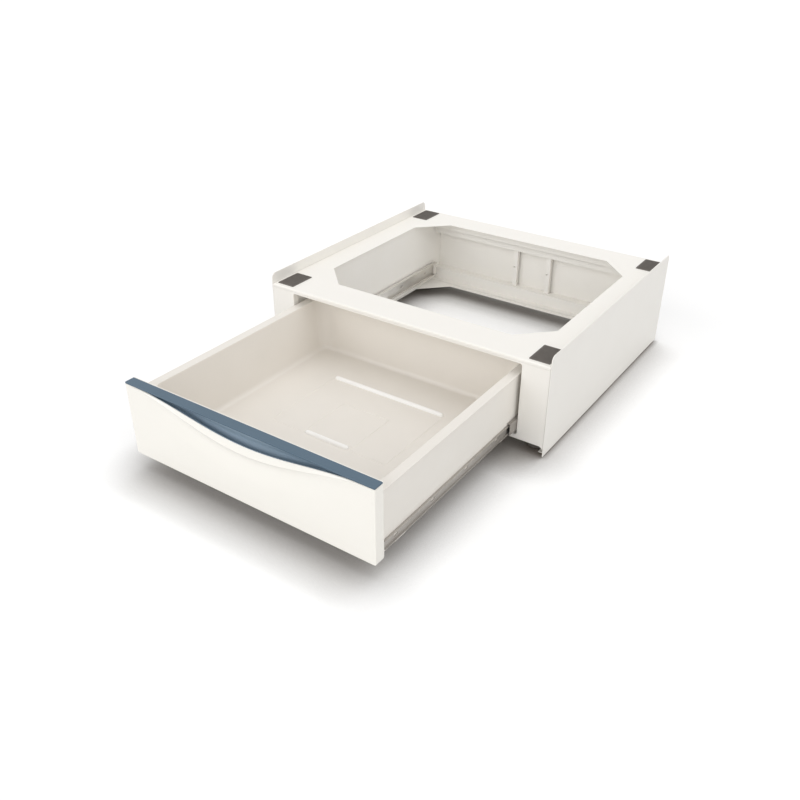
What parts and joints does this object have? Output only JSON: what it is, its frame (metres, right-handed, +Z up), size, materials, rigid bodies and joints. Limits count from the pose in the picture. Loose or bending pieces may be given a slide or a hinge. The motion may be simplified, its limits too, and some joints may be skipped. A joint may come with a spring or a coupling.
{
  "type": "washer pedestal drawer",
  "caption": "Low white pedestal cabinet for a washing machine with an octagonal open deck, raised side lips and a wide drawer on ball-bearing slides.",
  "frame": {"origin": "on the floor under the middle of the box round the open pedestal", "axes": "+X to the right seen from the front, +Y to the back, +Z up; the drawer opens towards -Y"},
  "size_m": [0.6, 0.9516, 0.197],
  "materials": {
    "cabinet_coat": "satin powder coat",
    "liner_coat": "satin powder coat",
    "drawer_coat": "satin powder coat",
    "tub_plastic": "fine moulded satin",
    "front_plastic": "smooth semi-gloss",
    "trim_plastic": "satin slate blue",
    "dark_rubber": "matte",
    "zinc_steel": "zinc plated",
    "ball_steel": "polished"
  },
  "bodies": {
    "cabinet": {"front_frame": "cabinet_coat", "deck": "cabinet_coat", "base_plate": "cabinet_coat", "side_panel_left": "cabinet_coat", "side_panel_right": "cabinet_coat", "back_panel": "liner_coat", "rear_upper_rail": "liner_coat", "rear_lower_rail": "liner_coat", "liner_left": "liner_coat", "liner_right": "liner_coat", "back_strap_left": "liner_coat", "back_strap_right": "liner_coat", "pad_front_left": "dark_rubber", "pad_front_right": "dark_rubber", "pad_rear_left": "dark_rubber", "pad_rear_right": "dark_rubber", "cabinet_rail_left": "zinc_steel", "cabinet_rail_right": "zinc_steel", "rail_bracket_front_left": "zinc_steel", "rail_bracket_front_right": "zinc_steel", "rail_bracket_rear_left": "zinc_steel", "rail_bracket_rear_right": "zinc_steel", "foot_insert_front_left": "zinc_steel", "foot_insert_front_right": "zinc_steel", "foot_insert_rear_left": "zinc_steel", "foot_insert_rear_right": "zinc_steel", "rail_stop_left": "tub_plastic", "rail_stop_right": "tub_plastic"},
    "drawer": {"drawer_front": "front_plastic", "inner_panel": "front_plastic", "handle_trim": "trim_plastic", "drawer_tub": "tub_plastic", "drawer_back": "drawer_coat", "cross_rail_front": "zinc_steel", "cross_rail_rear": "zinc_steel", "drawer_side_left": "drawer_coat", "drawer_side_right": "drawer_coat", "drawer_rail_left": "zinc_steel", "drawer_rail_right": "zinc_steel", "corner_bracket_left": "zinc_steel", "corner_bracket_right": "zinc_steel"},
    "middle_rail_left": {"middle_rail_left": "zinc_steel"},
    "outer_cage_left": {"outer_cage_left": "ball_steel"},
    "inner_cage_left": {"inner_cage_left": "ball_steel"},
    "middle_rail_right": {"middle_rail_right": "zinc_steel"},
    "outer_cage_right": {"outer_cage_right": "ball_steel"},
    "inner_cage_right": {"inner_cage_right": "ball_steel"},
    "foot_front_left": {"foot_pad_front_left": "dark_rubber", "foot_stud_front_left": "zinc_steel"},
    "foot_front_right": {"foot_pad_front_right": "dark_rubber", "foot_stud_front_right": "zinc_steel"},
    "foot_rear_left": {"foot_pad_rear_left": "dark_rubber", "foot_stud_rear_left": "zinc_steel"},
    "foot_rear_right": {"foot_pad_rear_right": "dark_rubber", "foot_stud_rear_right": "zinc_steel"}
  },
  "joints": [
    {"name": "drawer_slide", "type": "slide", "parent": "cabinet", "child": "drawer", "axis": [0, 1, 0], "range_m": [0, 0.4086]},
    {"name": "middle_rail_left_slide", "type": "slide", "parent": "cabinet", "child": "middle_rail_left", "axis": [0, 1, 0], "range_m": [0, 0.2044]},
    {"name": "outer_cage_left_slide", "type": "slide", "parent": "cabinet", "child": "outer_cage_left", "axis": [0, 1, 0], "range_m": [0, 0.1022]},
    {"name": "inner_cage_left_slide", "type": "slide", "parent": "cabinet", "child": "inner_cage_left", "axis": [0, 1, 0], "range_m": [0, 0.3065]},
    {"name": "middle_rail_right_slide", "type": "slide", "parent": "cabinet", "child": "middle_rail_right", "axis": [0, 1, 0], "range_m": [0, 0.2044]},
    {"name": "outer_cage_right_slide", "type": "slide", "parent": "cabinet", "child": "outer_cage_right", "axis": [0, 1, 0], "range_m": [0, 0.1022]},
    {"name": "inner_cage_right_slide", "type": "slide", "parent": "cabinet", "child": "inner_cage_right", "axis": [0, 1, 0], "range_m": [0, 0.3065]},
    {"name": "foot_front_left_height", "type": "slide", "parent": "cabinet", "child": "foot_front_left", "axis": [0, 0, -1], "range_m": [0, 0.01]},
    {"name": "foot_front_right_height", "type": "slide", "parent": "cabinet", "child": "foot_front_right", "axis": [0, 0, -1], "range_m": [0, 0.01]},
    {"name": "foot_rear_left_height", "type": "slide", "parent": "cabinet", "child": "foot_rear_left", "axis": [0, 0, -1], "range_m": [0, 0.01]},
    {"name": "foot_rear_right_height", "type": "slide", "parent": "cabinet", "child": "foot_rear_right", "axis": [0, 0, -1], "range_m": [0, 0.01]}
  ],
  "couplings": [
    {"joint": "middle_rail_left_slide", "follows": "drawer_slide", "ratio": 0.5},
    {"joint": "outer_cage_left_slide", "follows": "drawer_slide", "ratio": 0.25},
    {"joint": "inner_cage_left_slide", "follows": "drawer_slide", "ratio": 0.75},
    {"joint": "middle_rail_right_slide", "follows": "drawer_slide", "ratio": 0.5},
    {"joint": "outer_cage_right_slide", "follows": "drawer_slide", "ratio": 0.25},
    {"joint": "inner_cage_right_slide", "follows": "drawer_slide", "ratio": 0.75}
  ]
}
